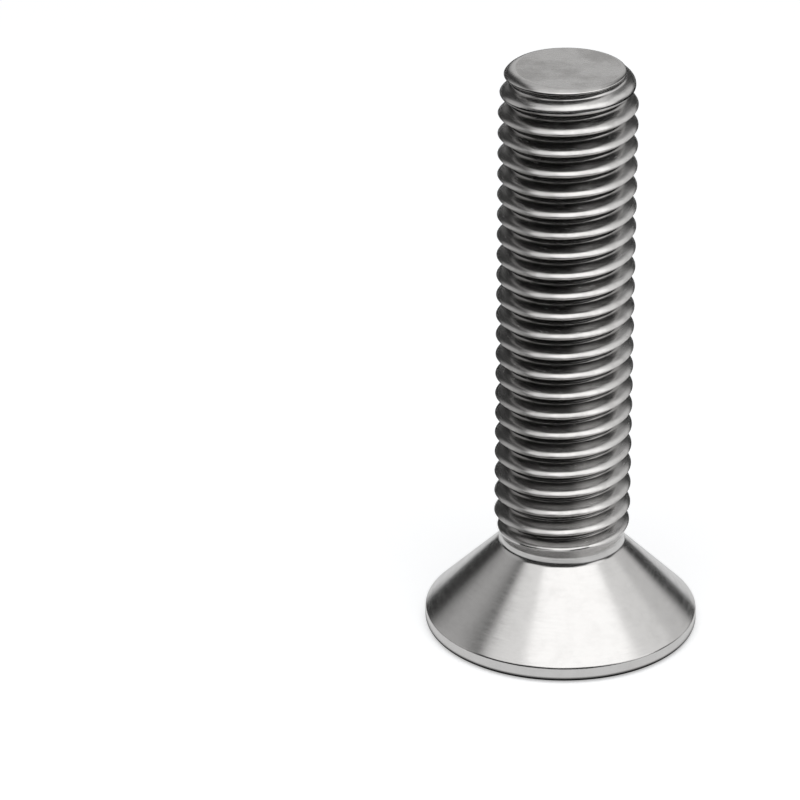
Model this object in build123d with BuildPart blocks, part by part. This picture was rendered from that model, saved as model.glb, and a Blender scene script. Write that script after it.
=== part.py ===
from build123d import *
import math
import os

# A hexagon socket countersunk screw, standing on its flat head with the shank pointing up.
# The origin is the centre of the head's face and +Z runs up the shank to the point. Millimetres.
# The shank is the outside of the thread, over its crests. The thread's fine grooves are left to the
# dressing of the part.

# Driving dimensions
THREAD_DIAMETER = 8.0
PITCH = 1.25
LENGTH = 35.0  # over everything, as countersunk screws are measured
POINT_TAPER = 0.33  # how much lower the crests stand at the very end, on the radius
POINT_TAPER_LENGTH = 2.2
POINT_ROUND = 0.6  # radius of the rounded edge at the point
NECK_LENGTH = 0.7  # plain neck between the cone and the thread's run-out
RUNOUT = 1.25  # height over which the thread fades into the neck
NECK_ROUND = 0.35  # hollow between the cone and the neck
HEAD_DIAMETER = 16.0
CONE_ANGLE = 90.0  # included angle of the countersunk head
RIM_HEIGHT = 0.96  # the short cylinder under the cone
RIM_ROUND = 0.15  # edge between the cone and the rim
FACE_ROUND = 0.45  # edge between the rim and the face
KEY_SIZE = 5.0  # the hexagon, across its flats
SOCKET_DEPTH = 3.3  # down to the foot of the flats
FOOT_CHAMFER = 0.12  # at the foot of the flats
FLOOR_ANGLE = 120.0  # included angle of the cone that ends the socket
MOUTH_ANGLE = 120.0  # included angle of the countersink at the socket's mouth
MOUTH_MARGIN = 0.12  # how far that countersink reaches past the hexagon's corners

# Rolling raises the crests out of the blank, so the neck keeps the blank's radius, which is the
# thread's pitch radius: 3/8 of the 60 degree thread triangle's height inside the crests.
TRIANGLE_HEIGHT = PITCH * math.sqrt(3) / 2
CREST_RADIUS = THREAD_DIAMETER / 2
NECK_RADIUS = CREST_RADIUS - TRIANGLE_HEIGHT * 3 / 8
HEAD_RADIUS = HEAD_DIAMETER / 2

# Heights along the screw
CONE_TOP = RIM_HEIGHT + (HEAD_RADIUS - NECK_RADIUS) / math.tan(math.radians(CONE_ANGLE / 2))
NECK_TOP = CONE_TOP + NECK_LENGTH
THREAD_START = NECK_TOP + RUNOUT

# The corners of the turned outline, each with the radius that rounds it
FACE_CORNER = (HEAD_RADIUS, 0)
RIM_CORNER = (HEAD_RADIUS, RIM_HEIGHT)
NECK_CORNER = (NECK_RADIUS, CONE_TOP)
POINT_CORNER = (CREST_RADIUS - POINT_TAPER, LENGTH)
ROUNDINGS = (
    (FACE_CORNER, FACE_ROUND),
    (RIM_CORNER, RIM_ROUND),
    (NECK_CORNER, NECK_ROUND),
    (POINT_CORNER, POINT_ROUND),
)

with BuildPart() as screw:
    # Head, neck and shank are turned from one outline, from the face up to the point.
    with BuildSketch(Plane.YZ) as outline:
        Polygon(
            (0, 0),
            FACE_CORNER,
            RIM_CORNER,
            NECK_CORNER,
            (NECK_RADIUS, NECK_TOP),
            (CREST_RADIUS, THREAD_START),
            (CREST_RADIUS, LENGTH - POINT_TAPER_LENGTH),
            POINT_CORNER,
            (0, LENGTH),
            align=None,
        )
        for corner, radius in ROUNDINGS:
            fillet(outline.vertices().sort_by_distance(corner)[0], radius)
    revolve(axis=Axis.Z)

    # The hexagon socket, with the broken edge at the foot of its flats
    with BuildSketch(Plane.XY):
        RegularPolygon(radius=KEY_SIZE / 2, side_count=6, major_radius=False)
    extrude(amount=SOCKET_DEPTH, mode=Mode.SUBTRACT)
    foot = screw.faces().filter_by(Plane.XY).sort_by_distance((0, 0, SOCKET_DEPTH))[0]
    chamfer(foot.edges(), FOOT_CHAMFER)

    # The punch's cone under the flats and the countersink at the mouth, both turned
    floor_radius = KEY_SIZE / 2 - FOOT_CHAMFER
    floor_tip = SOCKET_DEPTH + floor_radius / math.tan(math.radians(FLOOR_ANGLE / 2))
    mouth_reach = KEY_SIZE / math.sqrt(3) + MOUTH_MARGIN
    mouth_tip = mouth_reach / math.tan(math.radians(MOUTH_ANGLE / 2))
    with BuildSketch(Plane.YZ):
        Polygon((0, 0), (floor_radius, 0), (floor_radius, SOCKET_DEPTH), (0, floor_tip), align=None)
        Polygon((0, 0), (mouth_reach, 0), (0, mouth_tip), align=None)
    revolve(axis=Axis.Z, mode=Mode.SUBTRACT)

screw.part.label = "screw"

os.makedirs("parts", exist_ok=True)
export_step(screw.part, "parts/screw.step")
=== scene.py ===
import math
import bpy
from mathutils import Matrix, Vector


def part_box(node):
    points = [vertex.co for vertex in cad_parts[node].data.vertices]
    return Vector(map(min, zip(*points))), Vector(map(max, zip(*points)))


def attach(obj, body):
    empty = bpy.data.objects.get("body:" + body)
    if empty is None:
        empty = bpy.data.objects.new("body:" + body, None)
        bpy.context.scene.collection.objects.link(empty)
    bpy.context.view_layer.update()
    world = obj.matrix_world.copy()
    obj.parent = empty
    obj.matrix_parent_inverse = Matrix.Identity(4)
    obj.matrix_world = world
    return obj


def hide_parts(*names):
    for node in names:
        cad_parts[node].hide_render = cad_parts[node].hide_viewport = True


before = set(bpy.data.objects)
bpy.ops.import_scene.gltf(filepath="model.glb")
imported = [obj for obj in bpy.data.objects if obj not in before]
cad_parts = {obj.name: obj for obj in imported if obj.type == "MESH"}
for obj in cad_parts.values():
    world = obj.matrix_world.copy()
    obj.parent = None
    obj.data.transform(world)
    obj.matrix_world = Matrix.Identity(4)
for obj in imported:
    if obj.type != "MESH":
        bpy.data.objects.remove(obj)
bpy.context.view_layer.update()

from types import SimpleNamespace

import bpy
import numpy as np
from bpy.props import FloatProperty, FloatVectorProperty, IntProperty, PointerProperty
from mathutils import Vector

bl_info = {
    "name": "Countersunk socket screw",
    "version": (1, 0, 0),
    "blender": (4, 5, 0),
    "location": "View3D > Sidebar > Screw",
    "description": "Dresses the CAD frame of a countersunk socket screw with its true thread and its steel",
    "category": "Object",
}

MM = 0.001

PIECE = "screw_body"
CAD_NODE = "screw"
LOW_CORNER, HIGH_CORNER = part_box(CAD_NODE)
HEAD_REACH = min(-LOW_CORNER.x, -LOW_CORNER.y, HIGH_CORNER.x, HIGH_CORNER.y)

# A metric thread as shares of the height of its sharp triangle, and the slope of its sides
PITCH_LINE = 3 / 8  # in from the crests to the pitch line, which is also the blank's radius
ROOT_DEPTH = 17 / 24  # in from the crests to the rounded root
ROOT_ROUND = 1 / 6  # radius at the root
FLANK_ANGLE = math.radians(30)  # between each flank and the plane across the screw

# Rings of the mesh, and the angle from which an edge is shaded sharp
PROFILE_ROWS = 10  # of the thread, over half a pitch
POINT_RINGS = 44
HOLLOW_RINGS = 13
SHOULDER_RINGS = 7
EDGE_RINGS = 12
STRAIGHT_RINGS = 12  # over the cone, over the face and over the point's flat
WALL_RINGS = 8
FLOOR_RINGS = 14
SHARP_ANGLE = math.radians(28)
TOUCHING = 1e-6 * MM  # heights closer than this are the same

# The attribute that holds each point's depth in the thread's groove, from nought at the crests to one
GROOVE = "groove_depth"

# The finishes, by number: the place of each one's material on the mesh
THREAD, HEAD, FACE, POINT, SOCKET = range(5)
EVEN_PATCHES = (900, 0.45, 0.75)  # scale of the dull patches, and the noise where they start and are full
SCUFFS = (420, 0.42, 0.6)  # the same for the point: larger and with more contrast
GROOVE_SHADE_FROM = 0.45  # depth in the groove at which the painted shade starts to darken the steel
GRAIN_NOISE = (0.3, 0.7)  # the part of the fine noise's range that the roughness follows
BUMP_DISTANCE = 0.02 * MM

# The studio's soft lights as the steel mirrors them: degrees from the camera round to the right, degrees
# over the horizon, half widths of the even part and out to the end of the soft edge, and strength. Where
# two overlap, the stronger counts.
SOFT_LIGHTS = {
    "front": (0, 65, 19, 28, 1.5),
    "front left": (-56, 55, 12, 26, 1.0),
    "front right": (52, 54, 14, 27, 1.5),
    "right front": (66, 27, 10, 24, 1.2),
    "right high": (97, 40, 12, 26, 0.92),
    "right low": (118, 24, 12, 27, 0.7),
    "left": (-104, 16, 12, 36, 0.5),
    "low behind": (180, 24, 10, 24, 0.6),
    "high behind": (178, 60, 14, 30, 0.64),
    "ceiling": (0, 90, 24, 42, 0.8),
}
# The dark card is painted shade: a black sheet on the floor, seen only in the steel, that darkens the
# floor's reflection towards one side, in a ring against the rim and far away all round
CARD_SIDE = -55  # degrees from the camera round to the right
CARD_SPREAD = (60, 110)  # half widths of its dark part and out to the end of its soft edge
SHADE_CARD_BLACK = (0.01, 0.01, 0.01, 1)
CARD_UNDER = 0.3 * MM  # how far the card reaches in under the head's rounded edge
HAIR = 0.01 * MM  # how far the floor lies under the head's face, and the card over it
STAGE_STEPS = 72  # round the floor, the card and the dome
DOME_RINGS = 24
DOME_TOP = 89.9  # degrees, which leaves a pinhole over the screw

# The lamp overhead, in metres
KEY_PLACE = (0, -0.15, 0.45)
KEY_AIM = (0, 0, 0.01)
KEY_SIDES = (0.5, 0.4)

# The camera's sensor, in millimetres across, and the nearest thing that it sees
SENSOR = 36
NEAREST = 10 * MM


def length(name, description, millimetres):
    """A length property whose default is given in millimetres."""
    return FloatProperty(
        name=name,
        description=description,
        default=millimetres * MM,
        min=0.0,
        precision=6,
        unit="LENGTH",
        subtype="DISTANCE",
    )


def share(name, description, default):
    """A number from nought to one."""
    return FloatProperty(
        name=name, description=description, default=default, min=0.0, max=1.0, subtype="FACTOR"
    )


def colour(name, description, default):
    """A colour property, in scene-linear red, green and blue."""
    return FloatVectorProperty(
        name=name, description=description, default=default, min=0.0, max=1.0, size=3, subtype="COLOR"
    )


class ScrewShape(bpy.types.PropertyGroup):
    """Sizes of the screw. The defaults of its length and head diameter come from the CAD frame."""

    thread_diameter: length("Thread diameter", "Over the crests", 8.0)
    pitch: length("Pitch", "From one crest to the next", 1.25)
    screw_length: length("Length", "Over everything", (HIGH_CORNER.z - LOW_CORNER.z) / MM)
    groove_height: length("Groove height", "Middle of the lowest groove on the +X side", 7.27)
    crest_round: length("Crest rounding", "How far from each crest's edges its rounding starts", 0.3)
    runout: length("Run-out", "Height over which the thread fades into the neck", 1.0)
    neck_length: length("Neck length", "Plain neck between cone and run-out", 0.45)
    neck_round: length("Neck hollow", "Radius between cone and neck", 0.45)
    point_taper: length("Point taper", "How much lower the crests stand at the very end", 0.33)
    point_taper_length: length("Point taper length", "Height of the taper", 2.2)
    point_round: length("Point rounding", "Radius of the edge at the point", 0.8)
    head_diameter: length("Head diameter", "Across the head's rim", 2 * HEAD_REACH / MM)
    rim_height: length("Rim height", "The short cylinder under the cone", 0.96)
    rim_round: length("Rim rounding", "Edge between cone and rim", 0.22)
    face_round: length("Face rounding", "Edge between rim and face", 0.45)
    key_size: length("Key size", "The hexagon socket across its flats", 5.0)
    socket_depth: length("Socket depth", "Down to the foot of the flats", 3.3)
    foot_chamfer: length("Foot chamfer", "Broken edge at the foot of the flats", 0.12)
    corner_round: length("Corner rounding", "Radius in the socket's six corners", 0.15)
    mouth_margin: length("Mouth margin", "How far the mouth's countersink reaches past the corners", 0.12)
    cone_angle: FloatProperty(
        name="Cone angle",
        description="Included angle of the countersunk head",
        default=math.radians(90),
        subtype="ANGLE",
    )
    socket_angle: FloatProperty(
        name="Socket angle",
        description="Included angle of the socket's mouth and of the cone in its floor",
        default=math.radians(120),
        subtype="ANGLE",
    )
    columns: IntProperty(
        name="Columns",
        description="Steps round the screw, a multiple of twelve so that corners and flats fall on columns",
        default=168,
        min=24,
        max=180,
    )


class SteelLook(bpy.types.PropertyGroup):
    """Colours and roughness of the stainless steel."""

    steel: colour("Steel", "Bright stainless steel", (0.66, 0.65, 0.64))
    dull: colour("Dull steel", "Where the steel is mottled or scuffed", (0.50, 0.49, 0.48))
    # painted shade: this colour, reached deep in the thread's groove, stands in for the shade there
    root: colour("Root steel", "Deep in the thread's groove, where oil has dried", (0.32, 0.312, 0.305))
    thread_roughness: share("Thread roughness", "Rolled thread and neck", 0.23)
    head_roughness: share("Head roughness", "Cone and rim", 0.2)
    face_roughness: share("Face roughness", "The head's mottled face and the point", 0.3)
    socket_roughness: share("Socket roughness", "Punched walls of the socket", 0.3)


class StageSetup(bpy.types.PropertyGroup):
    """Camera, floor and light."""

    camera_elevation: FloatProperty(
        name="Camera elevation",
        description="Height of the camera over the horizon",
        default=math.radians(25.52),
        subtype="ANGLE",
    )
    camera_distance: length("Camera distance", "From the camera to its target", 288.7)
    target_left: length("Target left", "How far left of the screw's axis the camera aims", 9.488)
    target_height: length("Target height", "Height over the floor at which the camera aims", 14.322)
    lens: FloatProperty(name="Lens", description="Focal length on a 36 mm sensor", default=224.2)
    floor_size: length("Floor size", "Across the round floor", 2400.0)
    floor_hole: length("Floor hole", "Radius of the hole that the head hides", 7.0)
    floor_colour: colour("Floor", "White paper", (0.86, 0.87, 0.88))
    floor_lift: share("Floor lift", "How much the paper is lifted for the camera and in the steel", 0.45)
    world_light: share("World light", "Strength of the even light from all round", 0.4)
    key_light: FloatProperty(name="Key light", description="Watts of the soft light overhead", default=1.2)
    studio_radius: length("Studio radius", "Of the dome that the steel mirrors", 600.0)
    studio_grey: share("Studio grey", "How light the dome is away from its soft lights", 0.045)
    # The dark card paints shade into the floor that the steel mirrors: towards its side, a little all round,
    # the head's shadow in a ring against the rim, and the floor darkening with distance all round
    card_start: length("Dark card start", "Nearest edge of the dark card on the floor", 11.0)
    card_soft: length("Dark card softness", "Over which its edge fades in", 11.0)
    card_thin: share("Dark card away from its side", "How much it darkens the floor all round", 0.25)
    floor_shade_start: length("Paper end start", "Distance at which the mirrored floor starts to darken", 25.0)
    floor_shade_end: length("Paper end", "Distance at which the mirrored floor is dark all round", 60.0)
    contact_shade_start: length("Contact start", "Radius out to which the floor is dark against the rim", 7.9)
    contact_shade_end: length("Contact end", "Radius where that dark has faded out", 8.7)
    card_size: length("Dark card size", "Radius of the dark card's far edge", 400.0)


def worked_sizes(shape):
    """Radii, heights and rounded corners that follow from the properties. The thread's sharp triangle has
    sides of one pitch. The neck keeps the blank's radius, which is the pitch radius."""
    sharp = shape.pitch * math.sqrt(3) / 2
    crest = shape.thread_diameter / 2
    neck = crest - sharp * PITCH_LINE
    head = shape.head_diameter / 2
    cone_slope = math.tan(shape.cone_angle / 2)
    cone_top = shape.rim_height + (head - neck) / cone_slope
    neck_top = cone_top + shape.neck_length
    point_corner = crest - shape.point_taper
    taper = (-shape.point_taper, shape.point_taper_length)
    return SimpleNamespace(
        crest=crest,
        root=crest - sharp * ROOT_DEPTH,
        root_round=sharp * ROOT_ROUND,
        neck=neck,
        head=head,
        neck_top=neck_top,
        cone_top=cone_top,
        thread_start=neck_top + shape.runout,
        point_corner=point_corner,
        taper_foot=shape.screw_length - shape.point_taper_length,
        hollow=arc((neck, cone_top), (0, -1), (cone_slope, -1), shape.neck_round, HOLLOW_RINGS),
        point_edge=arc((point_corner, shape.screw_length), taper, (-1, 0), shape.point_round, POINT_RINGS),
    )


def over_crests(shape, size, height):
    """Radius over the crests: the neck, a straight rise over the run-out, the crests, a straight taper."""
    stations = [size.neck_top, size.thread_start, size.taper_foot, shape.screw_length]
    radii = [size.neck, size.crest, size.crest, size.point_corner]
    return np.interp(height, stations, radii)


def thread_radius(shape, size, angle, height, outside):
    """Radius of the threaded surface. The nearest groove's middle climbs one pitch a turn. From there the
    surface rises over an arc, then up straight flanks that touch it. The lower of groove and outside
    counts, blended where they are closer than the crest rounding. Over the run-out the root rises until
    no groove is left."""
    turns = (height - shape.groove_height) / shape.pitch - angle / (2 * math.pi)
    offset = np.abs(turns - np.round(turns)) * shape.pitch
    bottom = size.root_round - np.sqrt(np.maximum(size.root_round**2 - offset**2, 0))
    touch = size.root_round * math.cos(FLANK_ANGLE)
    flank_foot = size.root_round * (1 - math.sin(FLANK_ANGLE))
    flank = flank_foot + (offset - touch) / math.tan(FLANK_ANGLE)
    rise = np.where(offset < touch, bottom, flank)
    fade = np.clip((size.thread_start - height) / shape.runout, 0, 1)
    groove = size.root + rise + fade * (size.neck - size.root + shape.crest_round)
    blend = np.maximum(shape.crest_round - np.abs(groove - outside), 0) ** 2 / (4 * shape.crest_round)
    return np.minimum(groove, outside) - blend


def placed(angle, radius, height):
    """Points from cylinder coordinates."""
    angle, radius, height = np.broadcast_arrays(angle, radius, height)
    return np.stack([radius * np.cos(angle), radius * np.sin(angle), height], -1).reshape(-1, 3)


def column_angles(shape):
    """The angles of the mesh's columns round the screw."""
    return 2 * np.pi * np.arange(shape.columns) / shape.columns


def thread_grid(shape, size, low, high):
    """The thread between two heights, as a profile carried along its helix. Each row keeps its place in
    the profile, from the middle of one groove to the next, so crests and roots stay crisp. Rows that
    would pass the low or high ring end on it. Returns points, each point's depth in the groove as a share
    of the full depth, faces and the two rings' point numbers."""
    columns = np.arange(shape.columns + 1)[:, None, None]
    first = math.floor((low - shape.groove_height) / shape.pitch) - 2
    last = math.ceil((high - shape.groove_height) / shape.pitch) + 2
    grooves = np.arange(first, last)[None, :, None]
    middle = shape.groove_height + shape.pitch * (grooves + columns / shape.columns)

    # The rows of one turn, from the middle of its groove to the middles of the crests on both sides
    steps = np.arange(1 - PROFILE_ROWS, PROFILE_ROWS + 1)[None, None, :]
    side, step = np.sign(steps), np.abs(steps)
    offset = shape.pitch / 2 * step / PROFILE_ROWS
    height = (middle + side * offset).reshape(shape.columns + 1, -1)
    height = np.clip(height, low, high)

    # A column one full turn on is the first column, one groove further up
    column = np.broadcast_to(np.arange(shape.columns + 1)[:, None], height.shape)
    row = 1 + np.arange(height.shape[1])[None, :] + np.where(column == shape.columns, steps.size, 0)
    stride = height.shape[1] + steps.size + 2
    row = np.where(height <= low, 0, np.where(height >= high, stride - 1, row))
    keys, pick, number = np.unique(
        (column % shape.columns) * stride + row, return_index=True, return_inverse=True
    )
    number = number.reshape(height.shape)
    angle = column_angles(shape)[keys // stride]
    height = height.reshape(-1)[pick]
    outside = over_crests(shape, size, height)
    radius = thread_radius(shape, size, angle, height, outside)
    depth = (outside - radius) / (size.crest - size.root)
    a, b, c, d = number[:-1, :-1], number[1:, :-1], number[1:, 1:], number[:-1, 1:]
    left, right = a != d, b != c
    faces = np.stack([a, b, c, d], -1)[left & right].tolist()
    faces += np.stack([a, b, c], -1)[~left & right].tolist()
    faces += np.stack([a, b, d], -1)[left & ~right].tolist()
    ring = np.arange(shape.columns) * stride
    low_ring, high_ring = np.searchsorted(keys, ring), np.searchsorted(keys, ring + stride - 1)
    return placed(angle, radius, height), depth, faces, low_ring, high_ring


def ring_faces(numbers):
    """Quads between rings of point numbers that follow each other upwards or inwards over the outside."""
    lower, upper = numbers[:-1], numbers[1:]
    corners = [lower, np.roll(lower, -1, 1), np.roll(upper, -1, 1), upper]
    return np.stack(corners, -1).reshape(-1, 4).tolist()


def fan_faces(ring, centre):
    """Triangles from the last ring to one point in its middle."""
    return np.stack([ring, np.roll(ring, -1), np.full_like(ring, centre)], -1).tolist()


def arc(corner, before, after, radius, steps):
    """Points of the arc that rounds the corner between two directions, by turning from one tangent to the
    other about the arc's centre. Directions and points are (radius, height) pairs."""
    corner, before, after = (np.array(v, float) for v in (corner, before, after))
    before, after = before / np.linalg.norm(before), after / np.linalg.norm(after)
    turn = math.atan2(before[0] * after[1] - before[1] * after[0], before @ after)
    start = corner - before * radius * math.tan(abs(turn) / 2)
    normal = np.array([-before[1], before[0]]) * math.copysign(1, turn)
    centre = start + normal * radius
    swing = np.linspace(0, turn, steps)[:, None]
    reach = start - centre
    across = np.array([-reach[1], reach[0]])
    return centre + np.cos(swing) * reach + np.sin(swing) * across


def point_rings(shape, size):
    """Radius and height of the rings round the point's edge and in over its flat. The groove runs out
    through them. Each is an array of rings by columns, and so is the depth in the groove."""
    outside, height = size.point_edge[:, :1], size.point_edge[:, 1:]
    radius = thread_radius(shape, size, column_angles(shape)[None, :], height, outside)
    depth = (outside - radius) / (size.crest - size.root)
    inwards = np.linspace(1, 0, STRAIGHT_RINGS)[1:-1, None]
    depth = np.concatenate([depth, np.zeros((len(inwards), shape.columns))])
    radius = np.concatenate([radius, inwards * radius[-1:]])
    height = np.concatenate([height, np.full_like(inwards, shape.screw_length)])
    return radius, np.broadcast_to(height, radius.shape), depth


def hexagon(shape, angle, apothem, rounding):
    """Distance from the axis to a hexagon's side, with two sides across Y: the apothem over the cosine of
    the angle from the side's middle. In the corners it is the distance to an arc that touches both sides."""
    sector = math.pi / 3
    from_side = angle % sector - sector / 2
    flat = apothem / np.cos(from_side)
    from_corner = sector / 2 - np.abs(from_side)
    middle = (apothem - rounding) / math.cos(sector / 2)
    inside = np.maximum(rounding**2 - (middle * np.sin(from_corner)) ** 2, 0)
    curve = middle * np.cos(from_corner) + np.sqrt(inside)
    touch = math.atan2(rounding * math.sin(sector / 2), middle + rounding * math.cos(sector / 2))
    return np.where(from_corner < touch, curve, flat)


def mouth_radius(shape):
    """Radius of the socket's mouth: out to the hexagon's corners and a margin past them."""
    return shape.key_size / math.sqrt(3) + shape.mouth_margin


def head_outline(shape, size, top):
    """Radius and height along the head's turned outline, from the neck down to the mouth of the socket."""
    slope = (math.tan(shape.cone_angle / 2), -1)
    shoulder = arc((size.head, shape.rim_height), slope, (0, -1), shape.rim_round, SHOULDER_RINGS)
    edge = arc((size.head, 0), (0, -1), (-1, 0), shape.face_round, EDGE_RINGS)
    cone = np.linspace(size.hollow[-1], shoulder[0], STRAIGHT_RINGS)[1:-1]
    face = np.linspace(edge[-1], (mouth_radius(shape), 0), STRAIGHT_RINGS)[1:]
    return np.concatenate([[(size.neck, top)], size.hollow, cone, shoulder, edge, face])


def socket_rings(shape):
    """Radius and height of the socket's rings from its mouth inwards: a countersink down to the hexagon,
    the six walls, the broken edge at their foot, and a floor that deepens as a cone to the middle, whose
    depth comes last."""
    angle = column_angles(shape)
    slope = 1 / math.tan(shape.socket_angle / 2)
    wall = hexagon(shape, angle, shape.key_size / 2, shape.corner_round)
    wall_top = (mouth_radius(shape) - wall) * slope
    wall_foot = shape.socket_depth - shape.foot_chamfer
    down = np.linspace(0, 1, WALL_RINGS)[:, None]
    walls = np.broadcast_to(wall, (WALL_RINGS, shape.columns)), wall_top + down * (wall_foot - wall_top)
    apothem = shape.key_size / 2 - shape.foot_chamfer
    floor = hexagon(shape, angle, apothem, shape.corner_round)
    inwards = np.linspace(1, 0, FLOOR_RINGS)[:-1, None] * floor
    falls = shape.socket_depth + np.maximum(apothem - inwards, 0) * slope
    radius = np.concatenate([walls[0], inwards])
    height = np.concatenate([walls[1], falls])
    return radius, height, shape.socket_depth + apothem * slope


def screw_mesh(shape):
    """The whole screw as one closed surface: the thread's grid, the rings of the point above it, and the
    rings of the head and the socket below it. Each point carries its depth in the groove, and each face
    the number of its finish."""
    size = worked_sizes(shape)
    low, high = (size.neck_top + size.hollow[0, 1]) / 2, size.point_edge[0, 1]
    angle = column_angles(shape)[None, :]
    points, depth, faces, low_ring, high_ring = thread_grid(shape, size, low, high)
    finish = [THREAD] * len(faces)

    def add_rings(first_ring, radius, height, finishes, centre_height=None, downwards=False):
        nonlocal points
        rings = len(points) + np.arange(radius.size).reshape(radius.shape)
        rings = np.concatenate([first_ring[None, :], rings])
        points = np.concatenate([points, placed(angle, radius, height)])
        new_faces, new_finish = ring_faces(rings), np.repeat(finishes, shape.columns).tolist()
        if centre_height is not None:
            points = np.concatenate([points, [[0, 0, centre_height]]])
            new_faces += fan_faces(rings[-1], len(points) - 1)
            new_finish += [finishes[-1]] * shape.columns
        faces.extend(face[::-1] if downwards else face for face in new_faces)
        finish.extend(new_finish)
        return rings[-1]

    radius, height, point_depth = (rings[1:] for rings in point_rings(shape, size))
    on_flat = height[:, 0] >= shape.screw_length - TOUCHING
    add_rings(high_ring, radius, height, np.where(on_flat, POINT, THREAD), shape.screw_length)
    depth = np.concatenate([depth, point_depth.reshape(-1)])

    outline = head_outline(shape, size, low)[1:]
    radius = np.broadcast_to(outline[:, :1], (len(outline), shape.columns))
    height = np.broadcast_to(outline[:, 1:], radius.shape)
    on_head = outline[:, 1] < size.cone_top + shape.neck_round / 2
    on_face = outline[:, 1] < TOUCHING
    finishes = np.where(on_face, FACE, np.where(on_head, HEAD, THREAD))
    mouth = add_rings(low_ring, radius, height, finishes, downwards=True)

    radius, height, centre = socket_rings(shape)
    add_rings(mouth, radius, height, np.full(len(radius), SOCKET), centre, downwards=True)
    depth = np.concatenate([depth, np.zeros(len(points) - len(depth))])
    return points, depth, faces, finish


def new_material(name):
    """A material with an empty node tree."""
    material = bpy.data.materials.new(name)
    material.use_nodes = True
    material.node_tree.nodes.clear()
    return material


def add_node(tree, kind, **values):
    """A node with its settings, and its inputs by name where the setting is an input."""
    node = tree.nodes.new(kind)
    for key, value in values.items():
        if key in node.inputs:
            node.inputs[key].default_value = value
        else:
            setattr(node, key, value)
    return node


def link_range(tree, value, start, end, low=0.0, high=1.0, interpolation="LINEAR"):
    """Maps a value from one range to another, and holds it at both ends."""
    node = add_node(tree, "ShaderNodeMapRange", interpolation_type=interpolation)
    for name, number in (("From Min", start), ("From Max", end), ("To Min", low), ("To Max", high)):
        node.inputs[name].default_value = number
    tree.links.new(value, node.inputs["Value"])
    return node.outputs["Result"]


def link_tint(tree, factor, first, second):
    """A colour that goes from the first to the second. The first may be another node's socket."""
    node = add_node(tree, "ShaderNodeMix", data_type="RGBA")
    node.inputs["B"].default_value = (*second, 1)
    tree.links.new(factor, node.inputs["Factor"])
    if isinstance(first, bpy.types.NodeSocket):
        tree.links.new(first, node.inputs["A"])
    else:
        node.inputs["A"].default_value = (*first, 1)
    return node.outputs["Result"]


def steel_finish(
    name, look, roughness, grain, variation, bump, dulling, patches=EVEN_PATCHES, painted_groove_shade=False
):
    """Bright steel, on Object coordinates. A fine noise, stretched by the grain, varies the roughness by a
    share of itself and gives a bump. A coarser noise dulls the steel in patches. In the thread the steel
    also darkens with depth in the groove, which is painted shade."""
    material = new_material(name)
    tree = material.node_tree
    place = add_node(tree, "ShaderNodeTexCoord").outputs["Object"]
    along = add_node(tree, "ShaderNodeMapping")
    along.inputs["Scale"].default_value = grain
    tree.links.new(place, along.inputs["Vector"])
    fine = add_node(tree, "ShaderNodeTexNoise", Scale=1.0, Detail=3.0, Roughness=0.6)
    tree.links.new(along.outputs["Vector"], fine.inputs["Vector"])

    patch_scale, dull_from, dull_full = patches
    coarse = add_node(tree, "ShaderNodeTexNoise", Scale=patch_scale, Detail=4.0, Roughness=0.65)
    tree.links.new(place, coarse.inputs["Vector"])
    dull = link_range(tree, coarse.outputs["Fac"], dull_from, dull_full, high=dulling)
    tint = link_tint(tree, dull, look.steel, look.dull)
    # painted shade: the steel darkens with depth in the thread's groove
    if painted_groove_shade:
        groove = add_node(tree, "ShaderNodeAttribute", attribute_name=GROOVE)
        groove_shade = link_range(tree, groove.outputs["Fac"], GROOVE_SHADE_FROM, 1.0, interpolation="SMOOTHSTEP")
        tint = link_tint(tree, groove_shade, tint, look.root)

    rough = link_range(
        tree, fine.outputs["Fac"], *GRAIN_NOISE, roughness * (1 - variation), roughness * (1 + variation)
    )
    relief = add_node(tree, "ShaderNodeBump", Strength=bump, Distance=BUMP_DISTANCE)
    tree.links.new(fine.outputs["Fac"], relief.inputs["Height"])
    steel = add_node(tree, "ShaderNodeBsdfPrincipled", Metallic=1.0)
    tree.links.new(tint, steel.inputs["Base Color"])
    tree.links.new(rough, steel.inputs["Roughness"])
    tree.links.new(relief.outputs["Normal"], steel.inputs["Normal"])
    output = add_node(tree, "ShaderNodeOutputMaterial")
    tree.links.new(steel.outputs["BSDF"], output.inputs["Surface"])
    return material


def rolled_thread_steel(look):
    """Thread and neck: faint streaks that run round the shank, and a groove darkened by painted shade."""
    return steel_finish(
        "rolled_thread_steel",
        look,
        look.thread_roughness,
        grain=(700, 700, 16000),
        variation=0.2,
        bump=0.08,
        dulling=0.8,
        painted_groove_shade=True,
    )


def formed_head_steel(look):
    """Cone and rim: smooth, with faint marks round the axis."""
    return steel_finish(
        "formed_head_steel",
        look,
        look.head_roughness,
        grain=(900, 900, 12000),
        variation=0.25,
        bump=0.1,
        dulling=0.3,
    )


def mottled_face_steel(look):
    """The head's face: matt and mottled where it lay in the die."""
    return steel_finish(
        "mottled_face_steel",
        look,
        look.face_roughness,
        grain=(3500, 3500, 3500),
        variation=0.35,
        bump=0.3,
        dulling=0.8,
    )


def scuffed_point_steel(look):
    """The point's flat: scuffed lightly, more along X than across."""
    return steel_finish(
        "scuffed_point_steel",
        look,
        look.face_roughness,
        grain=(1500, 5000, 3000),
        variation=0.3,
        bump=0.15,
        dulling=1.0,
        patches=SCUFFS,
    )


def punched_socket_steel(look):
    """The socket: streaks along the punch's travel."""
    return steel_finish(
        "punched_socket_steel",
        look,
        look.socket_roughness,
        grain=(14000, 14000, 900),
        variation=0.3,
        bump=0.3,
        dulling=0.6,
    )


# In the order of the finishes' numbers
FINISH_MAKERS = (
    rolled_thread_steel,
    formed_head_steel,
    mottled_face_steel,
    scuffed_point_steel,
    punched_socket_steel,
)


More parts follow.
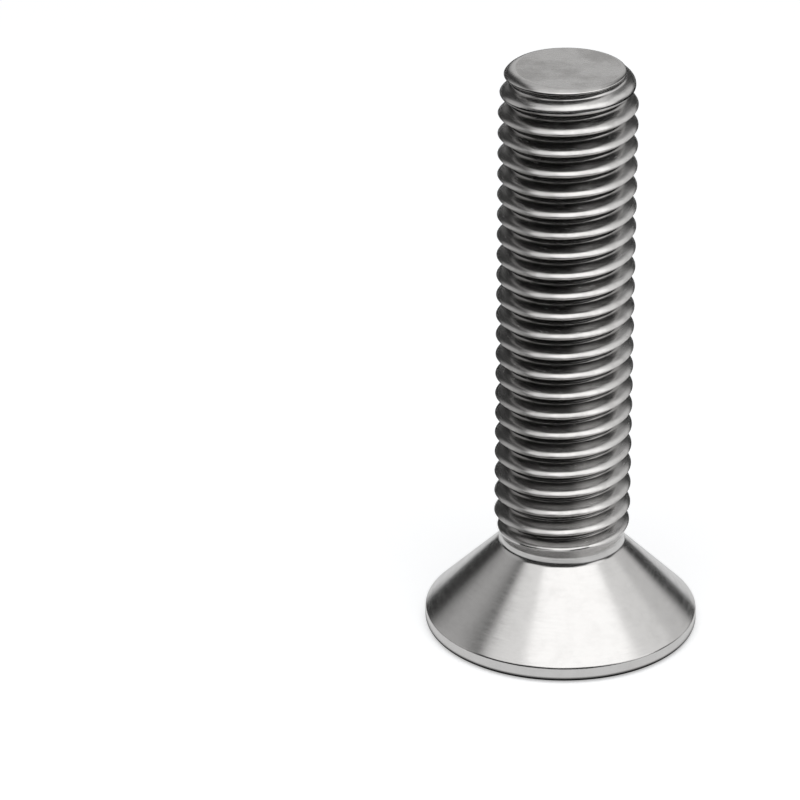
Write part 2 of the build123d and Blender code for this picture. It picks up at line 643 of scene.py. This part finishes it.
class SCREW_OT_body(bpy.types.Operator):
    """Build the screw's body with its true thread and give it its steel"""

    bl_idname = "screw.body"
    bl_label = "Screw body"

    def execute(self, context):
        shape, look = context.scene.screw_shape, context.scene.steel_look
        points, depth, faces, finish = screw_mesh(shape)
        mesh = bpy.data.meshes.new(PIECE)
        mesh.from_pydata(points.tolist(), [], faces)
        if mesh.validate():
            raise RuntimeError("the screw's mesh had faults")
        for make in FINISH_MAKERS:
            mesh.materials.append(make(look))
        groove = mesh.attributes.new(GROOVE, "FLOAT", "POINT")
        groove.data.foreach_set("value", depth.astype(np.float32))
        mesh.polygons.foreach_set("material_index", finish)
        mesh.polygons.foreach_set("use_smooth", [True] * len(faces))
        mesh.set_sharp_from_angle(angle=SHARP_ANGLE)
        body = bpy.data.objects.new(PIECE, mesh)
        context.scene.collection.objects.link(body)
        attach(body, "root")
        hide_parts(CAD_NODE)
        return {"FINISHED"}


def direction(side, height):
    """The unit vector so many degrees round to the right from the camera's side, and so many up."""
    side, height = math.radians(side), math.radians(height)
    return Vector((math.sin(side) * math.cos(height), -math.cos(side) * math.cos(height), math.sin(height)))


def link_math(tree, operation, first, second):
    """The result of a Math node on two sockets or numbers."""
    node = add_node(tree, "ShaderNodeMath", operation=operation)
    for socket, value in zip(node.inputs, (first, second)):
        if isinstance(value, bpy.types.NodeSocket):
            tree.links.new(value, socket)
        else:
            socket.default_value = value
    return node.outputs[0]


def link_smooth(tree, value, start, end):
    """From nought at the start to one at the end, eased at both."""
    return link_range(tree, value, start, end, interpolation="SMOOTHSTEP")


def link_towards(tree, vector, aim, even, edge):
    """For a unit vector: one within so many degrees of a direction, easing to nought at so many. It goes
    by the cosine, which is the dot product of the two."""
    dot = add_node(tree, "ShaderNodeVectorMath", operation="DOT_PRODUCT")
    tree.links.new(vector, dot.inputs[0])
    dot.inputs[1].default_value = aim
    dark, full = math.cos(math.radians(edge)), math.cos(math.radians(even))
    return link_smooth(tree, dot.outputs["Value"], dark, full)


def unit_place(tree, flat):
    """The unit vector from the middle of the floor to the shaded point, and the distance between them.
    The flat one leaves out the height."""
    place = add_node(tree, "ShaderNodeTexCoord").outputs["Object"]
    if flat:
        level = add_node(tree, "ShaderNodeVectorMath", operation="MULTIPLY")
        tree.links.new(place, level.inputs[0])
        level.inputs[1].default_value = (1, 1, 0)
        place = level.outputs["Vector"]
    unit = add_node(tree, "ShaderNodeVectorMath", operation="NORMALIZE")
    size = add_node(tree, "ShaderNodeVectorMath", operation="LENGTH")
    tree.links.new(place, unit.inputs[0])
    tree.links.new(place, size.inputs[0])
    return unit.outputs["Vector"], size.outputs["Value"]


def seen_or_mirrored(tree):
    """One for camera, glossy and transmission rays, nought for the rest."""
    ray = add_node(tree, "ShaderNodeLightPath")
    mirrored = link_math(tree, "MAXIMUM", ray.outputs["Is Glossy Ray"], ray.outputs["Is Transmission Ray"])
    return link_math(tree, "MAXIMUM", ray.outputs["Is Camera Ray"], mirrored)


def surface_output(tree, shader):
    """Ends a node tree in a surface shader."""
    output = add_node(tree, "ShaderNodeOutputMaterial")
    tree.links.new(shader, output.inputs["Surface"])


def link_shaders(tree, factor, first, second):
    """A mix of two shaders."""
    mix = add_node(tree, "ShaderNodeMixShader")
    for value, socket in zip((factor, first, second), mix.inputs):
        tree.links.new(value, socket)
    return mix.outputs[0]


def floor_material(stage):
    """White paper that keeps a shadow, shows as white to the camera and in the steel, and is clear from
    below."""
    material = new_material("white_paper")
    tree = material.node_tree
    paper = add_node(tree, "ShaderNodeBsdfDiffuse")
    paper.inputs["Color"].default_value = (*stage.floor_colour, 1)
    glow = add_node(tree, "ShaderNodeEmission")
    lift = link_math(tree, "MULTIPLY", seen_or_mirrored(tree), stage.floor_lift)
    tree.links.new(lift, glow.inputs["Strength"])
    both = add_node(tree, "ShaderNodeAddShader")
    tree.links.new(paper.outputs[0], both.inputs[0])
    tree.links.new(glow.outputs[0], both.inputs[1])
    below = add_node(tree, "ShaderNodeNewGeometry").outputs["Backfacing"]
    clear = add_node(tree, "ShaderNodeBsdfTransparent")
    surface_output(tree, link_shaders(tree, below, both.outputs[0], clear.outputs[0]))
    return material


def dome_material(stage):
    """The studio that the steel mirrors: dark grey, with the soft lights as soft-edged discs."""
    material = new_material("studio_lights")
    tree = material.node_tree
    vector, _ = unit_place(tree, False)
    level = stage.studio_grey
    for side, height, even, edge, strength in SOFT_LIGHTS.values():
        disc = link_towards(tree, vector, direction(side, height), even, edge)
        level = link_math(tree, "MAXIMUM", level, link_math(tree, "MULTIPLY", disc, strength))
    material.cycles.emission_sampling = "NONE"
    light = add_node(tree, "ShaderNodeEmission")
    tree.links.new(level, light.inputs["Strength"])
    surface_output(tree, light.outputs[0])
    return material


def card_material(stage):
    """Black card, thin all round, that thickens with distance from the screw towards its own side. It is
    full in a narrow ring against the rim and far away all round. It is painted shade: the floor's shade as
    the steel mirrors it, the head's shadow against the rim, the floor darkening far off and towards the
    card's side."""
    material = new_material("mirrored_floor_shade")
    tree = material.node_tree
    vector, reach = unit_place(tree, True)
    # painted shade of the floor in the steel: towards the card's side, all round, the head's shadow against
    # the rim, and darkening with distance
    near = link_smooth(tree, reach, stage.card_start, stage.card_start + stage.card_soft)
    side = link_towards(tree, vector, direction(CARD_SIDE, 0), *CARD_SPREAD)
    contact = link_smooth(tree, reach, stage.contact_shade_end, stage.contact_shade_start)
    far = link_smooth(tree, reach, stage.floor_shade_start, stage.floor_shade_end)
    shade_cover = link_math(tree, "MAXIMUM", link_math(tree, "MULTIPLY", near, side), stage.card_thin)
    shade_cover = link_math(tree, "MAXIMUM", shade_cover, link_math(tree, "MAXIMUM", contact, far))
    clear = add_node(tree, "ShaderNodeBsdfTransparent")
    black = add_node(tree, "ShaderNodeBsdfDiffuse", Color=SHADE_CARD_BLACK)
    surface_output(tree, link_shaders(tree, shade_cover, clear.outputs[0], black.outputs[0]))
    return material


def stage_surface(context, name, radius, height, material):
    """A piece of the stage turned from rings of one radius and height each."""
    turn = np.linspace(0, 2 * np.pi, STAGE_STEPS, endpoint=False)[None, :]
    points = placed(turn, np.array(radius)[:, None], np.array(height)[:, None])
    rings = np.arange(len(points)).reshape(len(radius), -1)
    mesh = bpy.data.meshes.new(name)
    mesh.from_pydata(points.tolist(), [], ring_faces(rings))
    mesh.materials.append(material)
    piece = bpy.data.objects.new(name, mesh)
    context.scene.collection.objects.link(piece)
    return piece


def add_floor(context, stage):
    """A round floor, a hair under the screw, with a hole that the head hides."""
    reach = [stage.floor_size / 2, stage.floor_hole]
    stage_surface(context, "floor", reach, [-HAIR, -HAIR], floor_material(stage))


def only_mirrored(piece):
    """Leaves a piece of the stage to be seen in the steel alone."""
    piece.visible_camera = False
    piece.visible_diffuse = False
    piece.visible_shadow = False


def add_studio(context, stage):
    """A dome with the soft lights, and a dark card on the floor, which only the steel mirrors. The card is
    painted shade of the floor.
    """
    rise = np.radians(np.linspace(0, DOME_TOP, DOME_RINGS))
    reach = stage.studio_radius
    dome = stage_surface(context, "dome", reach * np.cos(rise), reach * np.sin(rise), dome_material(stage))
    only_mirrored(dome)
    reach = [stage.card_size, stage.contact_shade_start - CARD_UNDER]
    only_mirrored(stage_surface(context, "mirrored_floor_shade", reach, [HAIR, HAIR], card_material(stage)))


def add_camera(context, stage):
    """The camera in front of the screw, aimed level across and down at its target."""
    data = bpy.data.cameras.new("camera")
    data.lens = stage.lens
    data.sensor_width = SENSOR
    data.clip_start = NEAREST
    camera = bpy.data.objects.new("camera", data)
    back = Vector((0, -math.cos(stage.camera_elevation), math.sin(stage.camera_elevation)))
    target = Vector((-stage.target_left, 0, stage.target_height))
    camera.location = target + back * stage.camera_distance
    camera.rotation_euler = (-back).to_track_quat("-Z", "Y").to_euler()
    context.scene.collection.objects.link(camera)
    context.scene.camera = camera


def add_softbox(context, name, place, target, sides, watts):
    """A rectangular soft lamp at a place, aimed at a target. The dome stands for it in the steel."""
    data = bpy.data.lights.new(name, "AREA")
    data.shape = "RECTANGLE"
    data.size, data.size_y = sides
    data.energy = watts
    lamp = bpy.data.objects.new(name, data)
    lamp.location = place
    lamp.rotation_euler = (Vector(target) - Vector(place)).to_track_quat("-Z", "Y").to_euler()
    lamp.visible_glossy = False
    context.scene.collection.objects.link(lamp)


def set_world(context, stage):
    """Even light from all round, and plain white to the camera and in the steel."""
    world = bpy.data.worlds.new("studio")
    context.scene.world = world
    world.use_nodes = True
    tree = world.node_tree
    tree.nodes.clear()
    level = add_node(tree, "ShaderNodeMix", data_type="FLOAT")
    level.inputs["A"].default_value = stage.world_light
    level.inputs["B"].default_value = 1.0
    tree.links.new(seen_or_mirrored(tree), level.inputs["Factor"])
    background = add_node(tree, "ShaderNodeBackground")
    tree.links.new(level.outputs["Result"], background.inputs["Strength"])
    output = add_node(tree, "ShaderNodeOutputWorld")
    tree.links.new(background.outputs[0], output.inputs["Surface"])


class SCREW_OT_stage(bpy.types.Operator):
    """Set the floor, the light and the camera"""

    bl_idname = "screw.stage"
    bl_label = "Stage"

    def execute(self, context):
        stage = context.scene.stage_setup
        add_floor(context, stage)
        add_studio(context, stage)
        set_world(context, stage)
        add_softbox(context, "overhead", KEY_PLACE, KEY_AIM, KEY_SIDES, stage.key_light)
        add_camera(context, stage)
        context.scene.view_settings.view_transform = "Standard"
        return {"FINISHED"}


class SCREW_PT_panel(bpy.types.Panel):
    """Sizes, colours and buttons"""

    bl_label = "Screw"
    bl_idname = "SCREW_PT_panel"
    bl_space_type = "VIEW_3D"
    bl_region_type = "UI"
    bl_category = "Screw"

    def draw(self, context):
        for group, operator in (
            (context.scene.screw_shape, SCREW_OT_body),
            (context.scene.steel_look, None),
            (context.scene.stage_setup, SCREW_OT_stage),
        ):
            box = self.layout.box()
            for name in group.__annotations__:
                box.prop(group, name)
            if operator:
                box.operator(operator.bl_idname)


CLASSES = (ScrewShape, SteelLook, StageSetup, SCREW_OT_body, SCREW_OT_stage, SCREW_PT_panel)


def register():
    """Adds the classes, and their settings to the scene."""
    for item in CLASSES:
        bpy.utils.register_class(item)
    bpy.types.Scene.screw_shape = PointerProperty(type=ScrewShape)
    bpy.types.Scene.steel_look = PointerProperty(type=SteelLook)
    bpy.types.Scene.stage_setup = PointerProperty(type=StageSetup)


def unregister():
    """Takes the settings and the classes away again."""
    del bpy.types.Scene.stage_setup
    del bpy.types.Scene.steel_look
    del bpy.types.Scene.screw_shape
    for item in reversed(CLASSES):
        bpy.utils.unregister_class(item)


def main():
    """Builds the screw and its stage."""
    register()
    bpy.ops.screw.body()
    bpy.ops.screw.stage()


if __name__ == "__main__":
    main()
